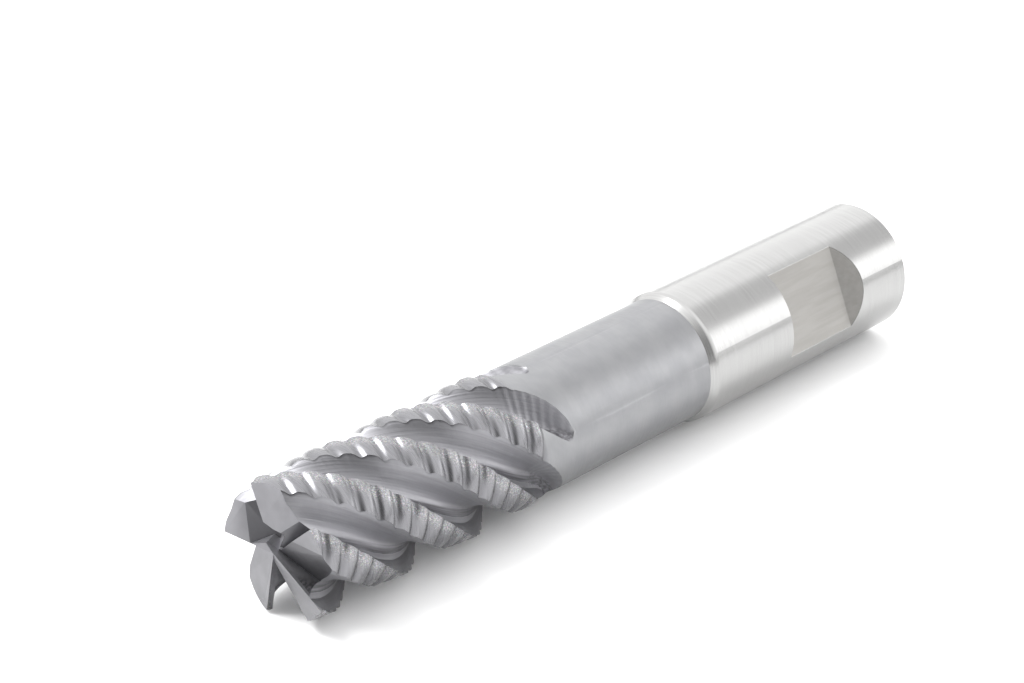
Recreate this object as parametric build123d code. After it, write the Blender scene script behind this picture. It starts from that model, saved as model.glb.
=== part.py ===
from build123d import *
from build123d.topology import SkipClean
from math import cos, radians, sin, tan
import os

"""Roughing end mill: a fluted high-speed-steel cutter welded end to end to a flatted shank.

The tool's axis is X. The origin is the centre of the shank's end face, the cutting end points
to -X and the shank's flat faces the -Y side, turned a little upwards. Lengths in millimetres.
"""

# Overall sizes
SHANK_R = 12.5              # ground shank, also the radius over the cutting teeth
OVERALL = 148.0             # cutting tip to shank end
SHANK_LENGTH = 56.8         # from the neck's end to the shank's end face
NECK_R = 11.65              # relieved neck behind the teeth
CUT_LENGTH = 49.3           # length over which the teeth stand at full radius
NECK_STEP = 1.0             # axial length of the chamfer from the teeth down to the neck
SHOULDER_LENGTH = 1.4       # cone from the neck up to the shank
SHOULDER_ROUND = 1.5        # rounding where that cone meets the shank
END_CHAMFER = 0.8

# Helical teeth
TEETH = 5
LEAD = 78.54                # one turn of the right-hand helix: 45 degrees on the outside
FIRST_EDGE = 60.5           # angle of the first cutting edge at the tip, from +Y towards +Z
LAND_ANGLE = 30.5           # width of a tooth's ribbed land
HEEL_R = 11.95              # a land's radius at its heel

# Chip-breaking ribs across the lands
RIB_PITCH = 2.8
RIB_START = 0.5             # from the tip to the first groove on the first tooth
RIB_STAGGER = 0.6           # share of a pitch by which each next tooth's grooves move on
GROOVE_R = 0.75             # round-bottomed groove between two ribs
GROOVE_CENTRE_R = 12.87
GROOVE_TILT = 7.8           # degrees by which a groove leans across its land
GROOVE_OVERHANG = 10.0      # degrees by which a groove's cut runs past each side of its land

# Flutes
FLUTE_CORE_R = 7.8          # radius left under the flutes
RUNOUT_START = 47.0         # from the tip: here the flutes begin to rise
RUNOUT_END = 56.2           # and here they have left the neck's surface
RUNOUT_LEAN = 52.0          # degrees behind the cutting edge towards which they rise

# Cutting end. Distances out along a tooth's radius, ahead of that radius and down from the tip
END_EDGES = [66.0, 137.0, 206.5, 282.0, 353.4]      # angle of each end tooth's edge
END_RELIEF = 10.0           # degrees by which an end tooth falls away behind its edge
# Each gash: its tooth, how far ahead its upright wall stands, its depth at the axis, how much
# that deepens outwards and rises ahead for each millimetre, then where its inner end starts,
# the direction of that end in degrees and its slope
GASHES = [
    (0, -0.02, 3.46, 0.114, 0.65, 1.7, 90, 4.0),
    (1, -0.02, 1.29, 0.277, 0.65, 0.0, 90, 1.5),
    (1, 1.5, 0.59, 0.277, 0.33, -9.0, 90, 1.5),
    (2, -0.02, 1.28, 0.285, 0.315, -9.0, 90, 1.5),
    (3, -0.02, 3.20, 0.200, 0.45, 1.1, 56, 0.7),
    (4, -0.02, 3.20, 0.200, 0.45, 4.4, 61, 1.2),
]

# Clamping flat on the shank
FLAT_DEPTH = 2.87
FLAT_ANGLE = 155.8          # direction that it faces, from +Y towards +Z
FLAT_START = 34.5           # from the shank's end face to the step nearer the cutting end
FLAT_END = 16.6             # from the shank's end face to the ramp's foot
RAMP_RUN = 1.13             # axial run of the ramp for each millimetre of its rise

TIP_X = -OVERALL
WELD_X = -SHANK_LENGTH
TOOTH_ANGLE = 360 / TEETH
OUTSIDE_R = 16.0            # cutters reach past the tool's surface to this radius
CLEAR = 1.0                 # and past its ends by this much


def polar(radius, angle):
    """Point in the YZ plane, angle in degrees from +Y towards +Z."""
    return Vector(0, radius * cos(radians(angle)), radius * sin(radians(angle)))


def edge_angle(tooth, from_tip):
    """Where a tooth's cutting edge is at this distance from the tip."""
    return FIRST_EDGE + TOOTH_ANGLE * tooth + 360 * from_tip / LEAD


def revolved(outline):
    """Solid turned about X from a closed outline of (x, radius) points."""
    return revolve(make_face(Polyline(*outline, close=True)), Axis.X, 360, clean=False)


def blank():
    """The cutter before fluting: full radius over the teeth, then the relieved neck."""
    teeth_end = TIP_X + CUT_LENGTH
    return revolved([
        (TIP_X, 0), (TIP_X, SHANK_R), (teeth_end, SHANK_R),
        (teeth_end + NECK_STEP, NECK_R), (WELD_X, NECK_R), (WELD_X, 0),
    ])


def flute_section(from_tip):
    """Section of the flute behind the first tooth, turned by the helix and lifted in the run-out."""
    share = max(0.0, (from_tip - RUNOUT_START) / (RUNOUT_END - RUNOUT_START))
    turn = edge_angle(0, from_tip)
    centre = Vector(TIP_X + from_tip, 0, 0)
    centre += polar((NECK_R - FLUTE_CORE_R) * share ** 3, turn + RUNOUT_LEAN)

    def place(radius, angle):
        return centre + polar(radius, turn + angle)

    heel = place(HEEL_R, LAND_ANGLE)
    next_edge = place(SHANK_R, TOOTH_ANGLE)
    floor = Spline(
        heel, place(9.9, 39.5), place(8.4, 49.5), place(FLUTE_CORE_R, 59), place(8.3, 68),
        place(9.8, 73.5), next_edge,
    )
    outside = Polyline(
        next_edge, place(OUTSIDE_R, TOOTH_ANGLE - 2), place(OUTSIDE_R, LAND_ANGLE - 9), heel,
    )
    return make_face(floor + outside)


def flutes():
    """The flutes' cutters, lofted through turned sections from before the tip to the run-out."""
    full_depth = [4.0 * k - 2.0 for k in range(12)]
    rising = [RUNOUT_START + 1.5 * k for k in range(9)]
    flute = loft([flute_section(s) for s in full_depth + rising])
    return [Rot(TOOTH_ANGLE * tooth, 0, 0) * flute for tooth in range(TEETH)]


def groove(tooth, from_tip):
    """One round-bottomed chip-breaker groove across one tooth's land."""
    face = Pos(TIP_X + from_tip, GROOVE_CENTRE_R) * Circle(GROOVE_R)
    half = LAND_ANGLE / 2 + GROOVE_OVERHANG
    ring = Rot(-half, 0, 0) * revolve(face, Axis.X, 2 * half)
    middle = Axis((TIP_X + from_tip, 0, 0), (0, 1, 0))
    leaning = ring.rotate(middle, -GROOVE_TILT)
    return Rot(edge_angle(tooth, from_tip) + LAND_ANGLE / 2, 0, 0) * leaning


def grooves():
    """Every chip-breaker groove, each tooth's row moved on from the one before."""
    cutters = []
    for tooth in range(TEETH):
        place = RIB_START + RIB_PITCH * ((RIB_STAGGER * tooth) % 1)
        while place < CUT_LENGTH - CLEAR:
            cutters.append(groove(tooth, place))
            place += RIB_PITCH
    return cutters


def end_cutter(tooth, walls):
    """Convex cutter at the cutting end, in an end tooth's own frame.

    Each wall is a point (out, ahead, down) and the direction that leads out of the cutter.
    """
    block = Box(5 * OUTSIDE_R, 5 * OUTSIDE_R, 5 * OUTSIDE_R)
    for (out, ahead, down), (to_out, to_ahead, to_down) in walls:
        wall = Plane(origin=(out, -ahead, down), z_dir=(to_out, -to_ahead, to_down))
        block = split(block, wall, keep=Keep.BOTTOM)
    frame = Plane(origin=(TIP_X, 0, 0), x_dir=polar(1, END_EDGES[tooth]), z_dir=(1, 0, 0))
    return frame * block


def end_gash(tooth, front, depth, deepen, rise, start, turn, slope):
    """Gash ahead of an end tooth: an upright wall, a sloping wall and a sloping inner end."""
    across = radians(turn)
    return end_cutter(tooth, [
        ((0, front, 0), (0, -1, 0)),
        ((0, 0, depth), (-deepen, rise, 1)),
        ((start, 0, 0), (-slope * sin(across), slope * cos(across), 1)),
    ])


def centre_opening():
    """Opening at the axis that joins the first tooth's gash to the third tooth's."""
    tooth, _, depth, deepen, rise = GASHES[0][:5]
    third = radians(END_EDGES[2] - END_EDGES[tooth])
    return end_cutter(tooth, [
        ((0, 0, depth), (-deepen, rise, 1)),
        ((5.4, 0, 0), (3, -2.3, 1)),
        ((0, -0.05, 0), (-sin(third), -cos(third), 0)),
        ((0, 0, 1), (cos(third), -sin(third), 1)),
    ])


def end_relief(tooth):
    """Wedge above an end tooth's sloping end face, from its edge round to the next edge."""
    sector = radians((END_EDGES[(tooth + 1) % TEETH] - END_EDGES[tooth]) % 360)
    return end_cutter(tooth, [
        ((0, 0, 0), (0, tan(radians(END_RELIEF)), 1)),
        ((0, 0, 0), (0, 1, 0)),
        ((0, 0, 0), (-sin(sector), -cos(sector), 0)),
    ])


def cutter_head():
    """Fluted, ribbed and gashed cutter with its neck."""
    fluted = blank() - flutes()
    ribbed = fluted - grooves()
    relieved = ribbed - [end_relief(tooth) for tooth in range(TEETH)]
    return relieved - [end_gash(*gash) for gash in GASHES] - centre_opening()


def flat_cutter():
    """Everything above the clamping flat, with an upright step at one end and a ramp at the other."""
    floor_r = SHANK_R - FLAT_DEPTH
    height = FLAT_DEPTH + 2 * CLEAR
    outline = [
        (-FLAT_START, floor_r), (-FLAT_END, floor_r),
        (-FLAT_END + RAMP_RUN * height, floor_r + height), (-FLAT_START, floor_r + height),
    ]
    prism = extrude(make_face(Polyline(*outline, close=True)), SHANK_R, both=True)
    return Rot(FLAT_ANGLE, 0, 0) * prism


def shank():
    """Ground shank with a coned shoulder, an end chamfer and one clamping flat.

    Its round surface stays split at the flat's ends, and the seam lies under the flat.
    """
    cone_end = WELD_X + SHOULDER_LENGTH
    turned = revolved([
        (WELD_X, 0), (WELD_X, NECK_R), (cone_end, SHANK_R), (-FLAT_START, SHANK_R),
        (-FLAT_END, SHANK_R), (-END_CHAMFER, SHANK_R), (0, SHANK_R - END_CHAMFER), (0, 0),
    ])
    rim = turned.edges().filter_by(GeomType.CIRCLE).sort_by_distance((cone_end, SHANK_R, 0))[0]
    with SkipClean():
        return Rot(FLAT_ANGLE, 0, 0) * fillet(rim, SHOULDER_ROUND) - flat_cutter()


os.makedirs("parts", exist_ok=True)
for name, solid in {"cutter_head": cutter_head(), "shank": shank()}.items():
    export_step(solid, f"parts/{name}.step")
    print(name, round(solid.volume, 1), "mm3")
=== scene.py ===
"""Looks of the roughing end mill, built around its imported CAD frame. Tool sizes are in millimetres."""
from itertools import combinations
from math import cos, pi, radians, sin, tan

import bmesh
import bpy
import numpy as np
from mathutils import Matrix, Vector

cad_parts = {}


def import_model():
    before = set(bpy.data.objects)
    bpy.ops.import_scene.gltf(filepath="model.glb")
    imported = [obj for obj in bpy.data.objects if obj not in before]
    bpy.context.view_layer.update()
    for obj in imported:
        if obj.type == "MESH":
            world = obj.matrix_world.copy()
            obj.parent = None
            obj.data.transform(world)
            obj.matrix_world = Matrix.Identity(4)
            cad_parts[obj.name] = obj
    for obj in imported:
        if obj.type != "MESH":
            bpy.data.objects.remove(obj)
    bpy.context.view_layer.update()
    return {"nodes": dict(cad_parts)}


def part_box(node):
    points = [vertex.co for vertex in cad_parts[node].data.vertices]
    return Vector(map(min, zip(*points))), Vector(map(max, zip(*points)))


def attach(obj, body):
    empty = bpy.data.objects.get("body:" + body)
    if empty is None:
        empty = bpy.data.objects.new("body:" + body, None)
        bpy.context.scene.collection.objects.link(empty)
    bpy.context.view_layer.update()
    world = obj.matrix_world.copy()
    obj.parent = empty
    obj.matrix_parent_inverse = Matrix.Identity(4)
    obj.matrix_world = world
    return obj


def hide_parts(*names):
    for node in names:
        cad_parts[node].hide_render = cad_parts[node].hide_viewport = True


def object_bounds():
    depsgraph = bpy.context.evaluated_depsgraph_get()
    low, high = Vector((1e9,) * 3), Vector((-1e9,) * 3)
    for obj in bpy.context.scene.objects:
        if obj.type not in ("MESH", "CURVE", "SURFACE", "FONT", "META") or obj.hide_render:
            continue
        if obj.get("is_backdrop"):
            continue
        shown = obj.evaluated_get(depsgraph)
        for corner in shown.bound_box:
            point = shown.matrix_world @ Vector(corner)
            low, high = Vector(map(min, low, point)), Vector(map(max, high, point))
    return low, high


MM = 0.001

# The cutter's form, as in the CAD
SHANK_R = 12.5
NECK_R = 11.65
CUT_LENGTH = 49.3
TEETH_FADE = 0.3            # the neck's chamfer starts this far before the teeth's end
NECK_STEP = 1.0
TEETH = 5
TOOTH_ANGLE = 360 / TEETH
LEAD = 78.54
FIRST_EDGE = 60.5
LAND_ANGLE = 30.5
LAND_DROP = 0.6             # relief from the cutting edge to the heel
LAND_BEND = 1.2             # power that curves the relief
FLUTE_CORE_R = 7.8
RUNOUT_LEAN = 52.0          # degrees behind the cutting edge towards which the flute rises
FLUTE_MIDDLE = 58.5         # parts a flute's heel side from the next tooth's side
RUNOUT_START = 47.0         # from the tip: here the flutes begin to rise
RUNOUT_END = 56.5           # and here they have left the neck
RUNOUT_POWER = 4
CHATTER = 0.05              # waves across the flute where it rises
CHATTER_PITCH = 1.1
RAKE = 9.0                  # positive rake, degrees
RAKE_DEPTH = 3.0            # from the edge down to the crease above the flute's floor

# Chip-breaker ribs
RIB_PITCH = 2.8
RIB_START = 0.5
RIB_STAGGER = 0.6
RIB_DEPTH = 0.45
RIB_SLANT = 0.04            # axial shift of a groove for each degree across the land

# Mesh density
RING_STEP = 0.2
LAND_COLUMNS = 16
FLOOR_COLUMNS = 26
RAKE_COLUMNS = 8
SHARP_ANGLE = 32            # degrees between faces beyond which an edge is sharp

SKY = 2.1                   # strength of the studio's white walls

# Clamping flat on the shank, from the shank's end face
FLAT_START = 34.5
FLAT_END = 16.6
FLAT_REACH = 14.0           # half the stretch in which anything below the round wall is milled

# Cutting end. A tooth's own frame is the distance out along its edge, in front of it and down
TIP_LENGTH = 12.0           # the stretch of the cutter that the end cuts are made in
END_EDGES = [66.0, 137.0, 206.5, 282.0, 353.4]
END_RELIEF = 10.0           # degrees
END_REACH = 6.0             # faces made by the end cuts lie this near the tip
# Each gash: its tooth, how far in front of the edge its upright wall stands, the depth at
# the axis, how much it deepens outwards and rises in front for each millimetre, then where
# its inner end starts, that end's direction and slope
GASHES = [
    (0, -0.02, 3.46, 0.114, 0.65, 1.7, 90, 4.0),
    (1, -0.02, 1.29, 0.277, 0.65, 0.0, 90, 1.5),
    (1, 1.5, 0.59, 0.277, 0.33, -9.0, 90, 1.5),
    (2, -0.02, 1.28, 0.285, 0.315, -9.0, 90, 1.5),
    (3, -0.02, 3.20, 0.200, 0.45, 1.1, 56, 0.7),
    (4, -0.02, 3.20, 0.200, 0.45, 4.4, 61, 1.2),
]


def polar(radius, angle):
    """Points in the section plane as complex numbers, angle in degrees."""
    return radius * np.exp(1j * np.radians(angle))


def smooth_step(value, low, high):
    share = np.clip((value - low) / (high - low), 0, 1)
    return share * share * (3 - 2 * share)


def through(points, per_span=40):
    """Catmull-Rom curve through complex points."""
    padded = [2 * points[0] - points[1], *points, 2 * points[-1] - points[-2]]
    t = np.linspace(0, 1, per_span, endpoint=False)
    runs = []
    for a, b, c, d in zip(padded, padded[1:], padded[2:], padded[3:]):
        runs.append(0.5 * (2 * b + (c - a) * t + (2 * a - 5 * b + 4 * c - d) * t ** 2
                           + (3 * b - a - 3 * c + d) * t ** 3))
    return np.append(np.concatenate(runs), points[-1])


def flute_curves():
    """The flute's floor, from outside the heel to the crease, and its rake face, on outwards."""
    edge = polar(SHANK_R, TOOTH_ANGLE)
    inward = -edge / abs(edge) * np.exp(-1j * radians(RAKE))
    crease = edge + inward * RAKE_DEPTH
    floor = through([
        polar(14.0, 22), polar(11.95, LAND_ANGLE), polar(9.9, 39.5), polar(8.4, 49.5),
        polar(FLUTE_CORE_R, 59), polar(8.2, 67), crease,
    ])
    rake = crease - inward * np.linspace(0, RAKE_DEPTH + 1.5, 60)
    return floor, rake


def groove_share(from_tip, angle, tooth):
    """How deep in a chip-breaker groove a place on a tooth's land is, from 0 to 1."""
    start = RIB_START + RIB_PITCH * ((RIB_STAGGER * tooth) % 1)
    phase = (from_tip - start + RIB_SLANT * angle) / RIB_PITCH
    return (0.5 + 0.5 * np.cos(2 * pi * phase)) ** 2


def land_radius(angle, share):
    """Radius of a tooth's land, this far into a groove."""
    return SHANK_R - LAND_DROP * np.clip(angle / LAND_ANGLE, 0, 1.3) ** LAND_BEND - RIB_DEPTH * share


def past_teeth(from_tip):
    """From 0 on the teeth to 1 on the neck."""
    return smooth_step(from_tip, CUT_LENGTH - TEETH_FADE, CUT_LENGTH + NECK_STEP)


def outer_radius(from_tip, angle, tooth):
    """Radius over the ribbed land, the chamfer behind the teeth or the neck."""
    land = land_radius(angle, groove_share(from_tip, angle, tooth))
    return land + (NECK_R - land) * past_teeth(from_tip)


def resample(curve, start, end, count):
    """Evenly spaced points along part of a polyline, given by fractional indices."""
    steps = np.linspace(start, end, count)
    index = np.arange(len(curve))
    return np.interp(steps, index, curve.real) + 1j * np.interp(steps, index, curve.imag)


def exact_index(gap, low):
    """Fractional index where gap changes sign between low and low + 1."""
    a, b = gap[low], gap[low + 1]
    return low + a / (a - b)


def tooth_section(from_tip, tooth, floor, rake):
    """One tooth's land and the flute behind it, as complex points in the tooth's own frame."""
    share = np.clip((from_tip - RUNOUT_START) / (RUNOUT_END - RUNOUT_START), 0, 1)
    chatter = CHATTER * np.sin(2 * pi * from_tip / CHATTER_PITCH) * smooth_step(share, 0.05, 0.3)
    lift = polar((NECK_R - FLUTE_CORE_R) * share ** RUNOUT_POWER + chatter, RUNOUT_LEAN)
    curve = np.concatenate([floor, rake[1:]]) + lift
    angle = np.degrees(np.angle(curve))
    crease = len(floor) - 1
    this = outer_radius(from_tip, np.clip(angle, 0, None), tooth)
    following = outer_radius(from_tip, angle - TOOTH_ANGLE, (tooth + 1) % TEETH)
    limit = np.where(angle < FLUTE_MIDDLE, this, following)
    gap = abs(curve) - limit
    inside = gap < 0
    if inside.any():
        first = exact_index(gap, np.flatnonzero(inside)[0] - 1)
        last = exact_index(gap, np.flatnonzero(inside)[-1])
    else:
        first = last = float(np.argmin(gap))
        curve = curve / abs(curve) * limit
    turn = min(max(crease, first), last)
    flute = np.concatenate([
        resample(curve, first, turn, FLOOR_COLUMNS + 1)[1:],
        resample(curve, turn, last, RAKE_COLUMNS + 1)[1:],
    ])
    heel = resample(curve, first, first, 1)[0]
    edge_angle = np.degrees(np.angle(flute[-1]))
    return heel, flute, edge_angle


def ring(from_tip, floor, rake):
    """A closed ring of the cutter's section, in order round the axis."""
    cells = [tooth_section(from_tip, tooth, floor, rake) for tooth in range(TEETH)]
    points = []
    for tooth in range(TEETH):
        heel, flute, _ = cells[tooth]
        start = cells[tooth - 1][2] - TOOTH_ANGLE
        stop = np.degrees(np.angle(heel))
        angles = np.linspace(start, stop, LAND_COLUMNS + 1)[1:]
        land = polar(outer_radius(from_tip, np.clip(angles, 0, None), tooth), angles)
        turn = polar(1, FIRST_EDGE + TOOTH_ANGLE * tooth + 360 * min(from_tip, RUNOUT_END) / LEAD)
        points.append(np.concatenate([land, flute]) * turn)
    return np.concatenate(points)


def add_mesh(name, vertices, faces):
    mesh = bpy.data.meshes.new(name)
    mesh.from_pydata(vertices, [], faces)
    piece = bpy.data.objects.new(name, mesh)
    bpy.context.scene.collection.objects.link(piece)
    return piece


def tube(name, stations, head_start):
    """Closed tube through one ring at each station; head_start is the tip's place along X."""
    floor, rake = flute_curves()
    rings = [ring(s, floor, rake) for s in stations]
    columns = len(rings[0])
    vertices = []
    for station, points in zip(stations, rings):
        x = head_start + station * MM
        vertices += [(x, p.real * MM, p.imag * MM) for p in points]
    faces = []
    for row in range(len(stations) - 1):
        for column in range(columns):
            a = row * columns + column
            b = row * columns + (column + 1) % columns
            faces.append((a, b, b + columns, a + columns))
    faces.append(tuple(reversed(range(columns))))
    last = (len(stations) - 1) * columns
    faces.append(tuple(last + c for c in range(columns)))
    return add_mesh(name, vertices, faces)


def below_planes(tip_x, tooth, planes):
    """Convex cutter at the tip: the side of each (point, normal) plane that its normal leaves.

    Its frame is a tooth's own: distance outwards, distance in front and depth.
    """
    reach = 40.0
    walls = [(reach * axis, axis) for axis in np.vstack([np.eye(3), -np.eye(3)])]
    walls += [(np.array(point), np.array(normal)) for point, normal in planes]
    normals = np.array([normal for _, normal in walls], dtype=float)
    limits = np.array([point @ normal for point, normal in walls])
    corners = set()
    for trio in combinations(range(len(walls)), 3):
        if abs(np.linalg.det(normals[list(trio)])) > 1e-6:
            corner = np.linalg.solve(normals[list(trio)], limits[list(trio)])
            if np.all(normals @ corner < limits + 1e-6):
                corners.add(tuple(corner.round(5)))
    angle = radians(END_EDGES[tooth])
    place = Matrix((
        (0, 0, 1, tip_x / MM),
        (cos(angle), sin(angle), 0, 0),
        (sin(angle), -cos(angle), 0, 0),
        (0, 0, 0, 1),
    ))
    bm = bmesh.new()
    for corner in sorted(corners):
        bm.verts.new(corner)
    bmesh.ops.convex_hull(bm, input=bm.verts)
    bm.transform(Matrix.Scale(MM, 4) @ place)
    bmesh.ops.recalc_face_normals(bm, faces=bm.faces)
    mesh = bpy.data.meshes.new("end_cut")
    bm.to_mesh(mesh)
    bm.free()
    piece = bpy.data.objects.new("end_cut", mesh)
    bpy.context.scene.collection.objects.link(piece)
    return piece


def relief_cutter(tip_x, tooth):
    """Material above a tooth's sloping end face, within the tooth's own sector."""
    fall = tan(radians(END_RELIEF))
    sector = radians((END_EDGES[(tooth + 1) % TEETH] - END_EDGES[tooth]) % 360)
    return below_planes(tip_x, tooth, [
        ((0, 0, 0), (0, fall, 1)),
        ((0, 0, 0), (0, 1, 0)),
        ((0, 0, 0), (-sin(sector), -cos(sector), 0)),
    ])


def gash_cutter(tip_x, tooth, front, depth, deepen, rise, start, turn, slope):
    """Gash in front of an end tooth: the tooth's rake wall, a sloping wall and an inner end."""
    turn = radians(turn)
    return below_planes(tip_x, tooth, [
        ((0, front, 0), (0, -1, 0)),
        ((0, 0, depth), (-deepen, rise, 1)),
        ((start, 0, 0), (-slope * sin(turn), slope * cos(turn), 1)),
    ])


def centre_cutter(tip_x):
    """Opening at the axis that joins the first and third gashes."""
    tooth, _, depth, deepen, rise = GASHES[0][:5]
    third = radians(END_EDGES[2] - END_EDGES[0])
    return below_planes(tip_x, tooth, [
        ((0, 0, depth), (-deepen, rise, 1)),
        ((5.4, 0, 0), (3, -2.3, 1)),
        ((0, -0.05, 0), (-sin(third), -cos(third), 0)),
        ((0, 0, 1), (cos(third), -sin(third), 1)),
    ])


def cut_away(piece, cutter):
    """Subtracts one object from another and removes it."""
    step = piece.modifiers.new("cut", "BOOLEAN")
    step.operation = "DIFFERENCE"
    step.solver = "MANIFOLD"
    step.object = cutter
    bpy.context.view_layer.objects.active = piece
    bpy.ops.object.modifier_apply(modifier=step.name)
    bpy.data.objects.remove(cutter)


def cutter_head():
    """The whole cutter: its tip is gashed by itself and then welded to the rest."""
    low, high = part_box("cutter_head")
    tip_x = low[0]
    length = (high[0] - low[0]) / MM
    fluted = np.arange(TIP_LENGTH, RUNOUT_END + 1, RING_STEP)
    plain = np.linspace(fluted[-1], length, 5)[1:]
    tip = tube("tip", np.linspace(0, TIP_LENGTH, round(TIP_LENGTH / RING_STEP) + 1), tip_x)
    head = tube("cutter", [*fluted, *plain], tip_x)
    for tooth in range(TEETH):
        cut_away(tip, relief_cutter(tip_x, tooth))
    for gash in GASHES:
        cut_away(tip, gash_cutter(tip_x, *gash))
    cut_away(tip, centre_cutter(tip_x))
    bm = bmesh.new()
    bm.from_mesh(head.data)
    bm.from_mesh(tip.data)
    seam = tip_x + TIP_LENGTH * MM
    inner = [f for f in bm.faces if all(abs(v.co.x - seam) < 1e-7 for v in f.verts)]
    bmesh.ops.delete(bm, geom=inner, context="FACES")
    bmesh.ops.remove_doubles(bm, verts=bm.verts, dist=1e-6)
    bmesh.ops.recalc_face_normals(bm, faces=bm.faces)
    bm.to_mesh(head.data)
    bm.free()
    bpy.data.objects.remove(tip)
    head.data.shade_smooth()
    head.data.set_sharp_from_angle(angle=radians(SHARP_ANGLE))
    return head


def paint(head):
    """Stores each place's position in the untwisted cutter, which surface it belongs to, and where
    painted shade and painted glints go.
    """
    tip_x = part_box("cutter_head")[0][0]
    co = np.empty(len(head.data.vertices) * 3)
    head.data.vertices.foreach_get("co", co)
    co = co.reshape(-1, 3) / MM
    from_tip = co[:, 0] - tip_x / MM
    radius = np.hypot(co[:, 1], co[:, 2])
    around = np.degrees(np.arctan2(co[:, 2], co[:, 1]))
    around -= FIRST_EDGE + 360 * np.minimum(from_tip, RUNOUT_END) / LEAD
    tooth = np.floor(around / TOOTH_ANGLE)
    angle = around - TOOTH_ANGLE * tooth
    share = groove_share(from_tip, angle, tooth % TEETH)
    below = land_radius(angle, share) - radius
    on_teeth = 1 - past_teeth(from_tip)
    in_flute = smooth_step(np.where(on_teeth > 0.5, below, NECK_R - radius), 0.03, 0.25)
    fields = {
        "flute": in_flute,
        # groove also sets where painted shade darkens the chip-breaker grooves
        "groove": share * on_teeth * (1 - in_flute),
        "teeth": on_teeth,
        "edge": np.exp(-((angle - 6) / 7) ** 2) * on_teeth * (1 - in_flute),
        "slope": np.clip(angle / TOOTH_ANGLE, 0, 1),
    }
    for name, values in fields.items():
        head.data.attributes.new(name, "FLOAT", "POINT").data.foreach_set("value", values)
    spin = np.radians(around)
    untwisted = np.column_stack([from_tip, radius * np.cos(spin), radius * np.sin(spin)])
    head.data.attributes.new("untwisted", "FLOAT_VECTOR", "POINT").data.foreach_set(
        "vector", untwisted.ravel())
    near_tip = tip_x + END_REACH * MM
    end_faces = [f.center.x < near_tip and f.normal.x < -0.75 for f in head.data.polygons]
    # End faces that lean off the tip's plane or face downwards get painted shade
    painted_shade_walls = [
        end and (f.normal.x > -0.9 or f.normal.z < -0.2)
        for end, f in zip(end_faces, head.data.polygons)
    ]
    for name, faces in (("end", end_faces), ("gash", painted_shade_walls)):
        head.data.attributes.new(name, "FLOAT", "FACE").data.foreach_set(
            "value", np.array(faces, dtype=float))


class Nodes:
    """Short way to build a material's node tree."""

    def __init__(self, name):
        self.material = bpy.data.materials.new(name)
        self.material.use_nodes = True
        self.tree = self.material.node_tree
        self.shader = self.tree.nodes["Principled BSDF"]
        self.shader.inputs["Metallic"].default_value = 1.0

    def new(self, kind, inputs=(), **settings):
        node = self.tree.nodes.new(kind)
        for key, value in settings.items():
            setattr(node, key, value)
        for key, value in dict(inputs).items():
            self.feed(node.inputs[key], value)
        return node

    def feed(self, socket, value):
        if isinstance(value, bpy.types.NodeSocket):
            self.tree.links.new(value, socket)
        else:
            socket.default_value = value

    def field(self, name):
        node = self.new("ShaderNodeAttribute", attribute_name=name)
        return node.outputs["Vector" if name == "untwisted" else "Fac"]

    def math(self, operation, a, b=0.0, c=0.0):
        return self.new("ShaderNodeMath", {0: a, 1: b, 2: c}, operation=operation).outputs[0]

    def ramp(self, value, low, high, start=0.0, end=1.0):
        return self.new("ShaderNodeMapRange", {
            "Value": value, "From Min": low, "From Max": high, "To Min": start, "To Max": end,
        }, interpolation_type="SMOOTHSTEP").outputs["Result"]

    def stretched(self, place, stretch):
        return self.new("ShaderNodeVectorMath", {0: place, 1: stretch}, operation="MULTIPLY").outputs[0]

    def noise(self, place, scale, detail=3.0, output="Fac"):
        return self.new("ShaderNodeTexNoise", {
            "Vector": place, "Scale": scale, "Detail": detail,
        }).outputs[output]

    def mix(self, share, a, b):
        node = self.new("ShaderNodeMix", data_type="RGBA")
        self.feed(node.inputs["Factor"], share)
        self.feed(node.inputs[6], a)
        self.feed(node.inputs[7], b)
        return node.outputs[2]

    def bump(self, height, strength, distance):
        node = self.new("ShaderNodeBump", {
            "Height": height, "Strength": strength, "Distance": distance,
        })
        self.feed(self.shader.inputs["Normal"], node.outputs["Normal"])


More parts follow.
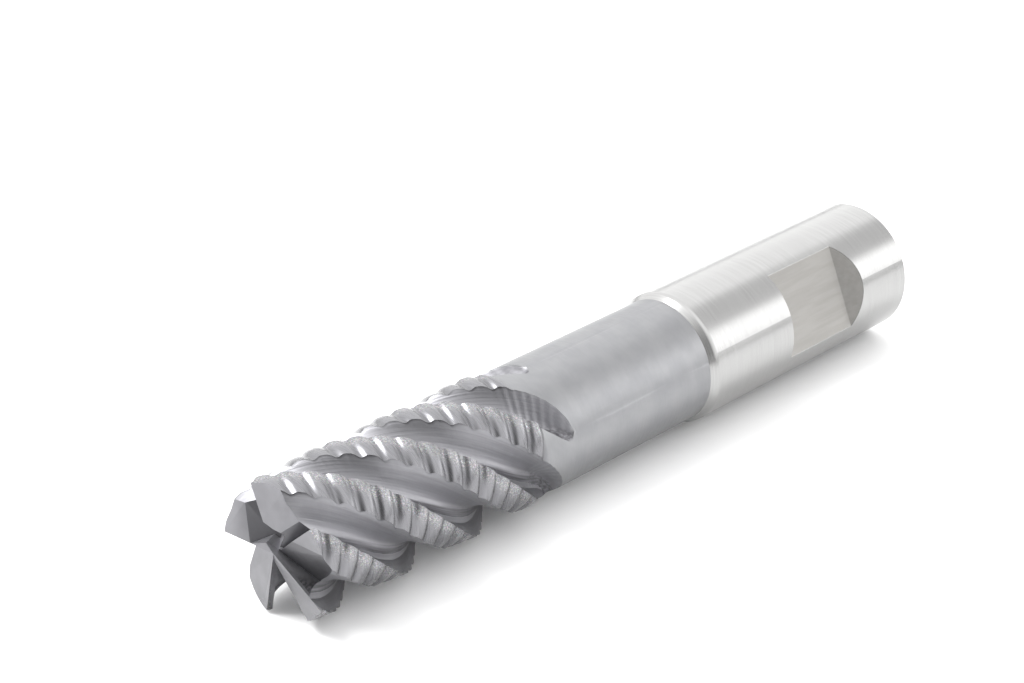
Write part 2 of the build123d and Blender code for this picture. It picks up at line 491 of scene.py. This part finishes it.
def cutter_steel():
    """Ground high-speed steel: ribbed lands, streaked flutes, satin neck and flat end faces, with
    painted light and shade across the flutes, painted shade in the grooves and on the gash walls and
    painted glints by the cutting edges.
    """
    n = Nodes("high_speed_steel")
    place = n.field("untwisted")
    flute = n.field("flute")
    groove = n.field("groove")
    streaks = n.noise(n.stretched(place, (0.05, 1, 1)), 2.2, 5.0)
    grind = n.noise(n.stretched(place, (3, 0.3, 0.3)), 1.0, 1.0)
    cloud = n.noise(place, 0.25, 3.0)
    slope = n.field("slope")
    land = n.mix(n.ramp(grind, 0.3, 0.7), (0.185, 0.184, 0.194, 1), (0.212, 0.211, 0.222, 1))
    # Painted light and shade across the flute: lighter from the heel side towards the middle of the
    # floor, then painted shade darkens the floor's rise and the rake face by the next tooth
    flute_painted_light_and_shade = n.mix(n.ramp(slope, 0.5, 0.75), (0.280, 0.278, 0.295, 1), (0.345, 0.343, 0.362, 1))
    flute_painted_light_and_shade = n.mix(n.ramp(slope, 0.76, 0.90), flute_painted_light_and_shade, (0.125, 0.123, 0.132, 1))
    # Grinding streaks laid over the flute's painted light and shade
    deep = n.mix(n.ramp(streaks, 0.35, 0.75, 0.0, 0.6), flute_painted_light_and_shade, (0.365, 0.363, 0.382, 1))
    neck = n.mix(n.ramp(cloud, 0.3, 0.7), (0.238, 0.240, 0.249, 1), (0.262, 0.264, 0.271, 1))
    ends = n.mix(n.ramp(cloud, 0.35, 0.65), (0.180, 0.179, 0.189, 1), (0.201, 0.200, 0.211, 1))
    sparkle = n.noise(place, 9.0, 1.0, "Color")
    surface = n.mix(n.field("teeth"), neck, land)
    # Painted shade darkens the floors of the chip-breaker grooves
    surface = n.mix(n.math("MULTIPLY", groove, 0.3), surface, (0.062, 0.062, 0.068, 1))
    glints = n.math("MULTIPLY", n.field("edge"), n.ramp(n.noise(place, 5.0, 2.0), 0.45, 0.65))
    surface = n.mix(n.math("MULTIPLY", glints, 0.6), surface, sparkle)
    surface = n.mix(flute, surface, deep)
    # Painted shade darkens the gash walls among the end faces
    ends = n.mix(n.field("gash"), ends, (0.105, 0.104, 0.111, 1))
    n.feed(n.shader.inputs["Base Color"], n.mix(n.field("end"), surface, ends))
    rough = n.math("MULTIPLY_ADD", grind, 0.16, 0.20)
    rough = n.math("ADD", rough, n.math("MULTIPLY_ADD", n.field("teeth"), -0.14, 0.14))
    n.feed(n.shader.inputs["Roughness"], n.math("MULTIPLY_ADD", flute, 0.16, rough))
    fine = n.math("MULTIPLY_ADD", n.field("teeth"), -0.02, 0.03)
    ground = n.math("MULTIPLY", grind, fine)
    height = n.math("MULTIPLY_ADD", streaks, n.math("MULTIPLY", flute, 0.7), ground)
    height = n.math("MULTIPLY", height, n.math("SUBTRACT", 1.0, n.field("end")))
    n.bump(height, 0.3, 0.0002)
    return n.material


def shank_steel():
    """Turned and ground steel, with a duller milled flat."""
    n = Nodes("ground_steel")
    place = n.new("ShaderNodeNewGeometry").outputs["Position"]
    x = n.new("ShaderNodeSeparateXYZ", {0: place}).outputs["X"]
    across = n.stretched(place, (0, 1, 1))
    radius = n.new("ShaderNodeVectorMath", {0: across}, operation="LENGTH").outputs["Value"]
    milled = n.math("MULTIPLY", n.math("LESS_THAN", radius, (SHANK_R - 0.05) * MM),
                    n.math("COMPARE", x, -(FLAT_START + FLAT_END) / 2 * MM, FLAT_REACH * MM))
    rings = n.noise(n.stretched(place, (9000, 120, 120)), 1.0, 4.0)
    smudge = n.noise(place, 90.0, 4.0)
    scuff = n.noise(n.stretched(place, (100, 900, 900)), 1.0, 4.0)
    ground = n.mix(n.ramp(rings, 0.3, 0.7), (0.335, 0.334, 0.331, 1), (0.370, 0.369, 0.366, 1))
    matte = n.mix(n.ramp(scuff, 0.3, 0.7), (0.295, 0.288, 0.276, 1), (0.325, 0.317, 0.304, 1))
    n.feed(n.shader.inputs["Base Color"], n.mix(milled, ground, matte))
    polish = n.math("MULTIPLY_ADD", smudge, 0.12, 0.17)
    n.feed(n.shader.inputs["Roughness"], n.math("MULTIPLY_ADD", milled, 0.35, polish))
    n.bump(rings, 0.08, 0.0001)
    return n.material


def dress(piece, material):
    piece.data.materials.clear()
    piece.data.materials.append(material)


def floor():
    reach = 1.5
    low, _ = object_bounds()
    corners = [(-reach, -reach), (reach, -reach), (reach, reach), (-reach, reach)]
    plane = add_mesh("floor", [(x, y, low[2]) for x, y in corners], [(0, 1, 2, 3)])
    material = bpy.data.materials.new("floor")
    material.use_nodes = True
    shader = material.node_tree.nodes["Principled BSDF"]
    shader.inputs["Base Color"].default_value = (0.95, 0.95, 0.95, 1)
    shader.inputs["Roughness"].default_value = 0.8
    plane.data.materials.append(material)
    plane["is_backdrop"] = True


def camera():
    data = bpy.data.cameras.new("camera")
    data.lens = 83.2
    data.sensor_width = 36
    data.clip_start = 0.01
    eye = bpy.data.objects.new("camera", data)
    bpy.context.scene.collection.objects.link(eye)
    eye.location = (-0.34247, -0.24864, 0.20289)
    aim = Vector((0.6239, 0.6272, -0.4662))
    eye.rotation_euler = aim.to_track_quat("-Z", "Y").to_euler()
    bpy.context.scene.camera = eye


def area_light(name, place, target, size, power):
    data = bpy.data.lights.new(name, "AREA")
    data.shape = "RECTANGLE"
    data.size, data.size_y = size
    data.energy = power
    lamp = bpy.data.objects.new(name, data)
    bpy.context.scene.collection.objects.link(lamp)
    lamp.location = place
    lamp.rotation_euler = (Vector(target) - Vector(place)).to_track_quat("-Z", "Y").to_euler()


def world():
    """White studio: a dark room past the tip, a dark horizon, a bright window and a grey panel.

    Each patch has its direction, the cosines where its edge starts and ends, and the factors
    outside and inside it.
    """
    made = bpy.data.worlds.new("world")
    bpy.context.scene.world = made
    made.use_nodes = True
    tree = made.node_tree
    towards = tree.nodes.new("ShaderNodeTexCoord").outputs["Generated"]
    patches = [
        ((-0.88, -0.42, 0.15), 0.35, 0.85, 1.0, 0.10),
        ((0.73, -0.60, 0.27), 0.94, 0.99, 1.0, 1.5),
        ((0.73, -0.20, 0.62), 0.92, 0.98, 1.0, 0.6),
    ]
    level = None
    for direction, low, high, outside, inside in patches:
        dot = tree.nodes.new("ShaderNodeVectorMath")
        dot.operation = "DOT_PRODUCT"
        dot.inputs[1].default_value = Vector(direction).normalized()
        tree.links.new(towards, dot.inputs[0])
        level = times(tree, level, step(tree, dot.outputs["Value"], low, high, outside, inside))
    height = tree.nodes.new("ShaderNodeSeparateXYZ")
    tree.links.new(towards, height.inputs[0])
    level = times(tree, level, step(tree, height.outputs["Z"], 0.02, 0.14, 0.25 * SKY, SKY))
    tree.links.new(level, tree.nodes["Background"].inputs["Strength"])
    tree.nodes["Background"].inputs["Color"].default_value = (1, 1, 1, 1)


def step(tree, value, low, high, start, end):
    node = tree.nodes.new("ShaderNodeMapRange")
    node.interpolation_type = "SMOOTHSTEP"
    for name, number in (("From Min", low), ("From Max", high), ("To Min", start), ("To Max", end)):
        node.inputs[name].default_value = number
    tree.links.new(value, node.inputs["Value"])
    return node.outputs["Result"]


def times(tree, a, b):
    if a is None:
        return b
    node = tree.nodes.new("ShaderNodeMath")
    node.operation = "MULTIPLY"
    tree.links.new(a, node.inputs[0])
    tree.links.new(b, node.inputs[1])
    return node.outputs[0]


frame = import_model()
bpy.context.scene.view_settings.view_transform = "Standard"
camera()
world()
floor()
area_light("key", (-0.5, 0.5, 0.9), (-0.08, 0, 0), (0.5, 0.5), 10)
head = cutter_head()
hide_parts("cutter_head")
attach(head, "root")
paint(head)
dress(head, cutter_steel())
dress(frame["nodes"]["shank"], shank_steel())
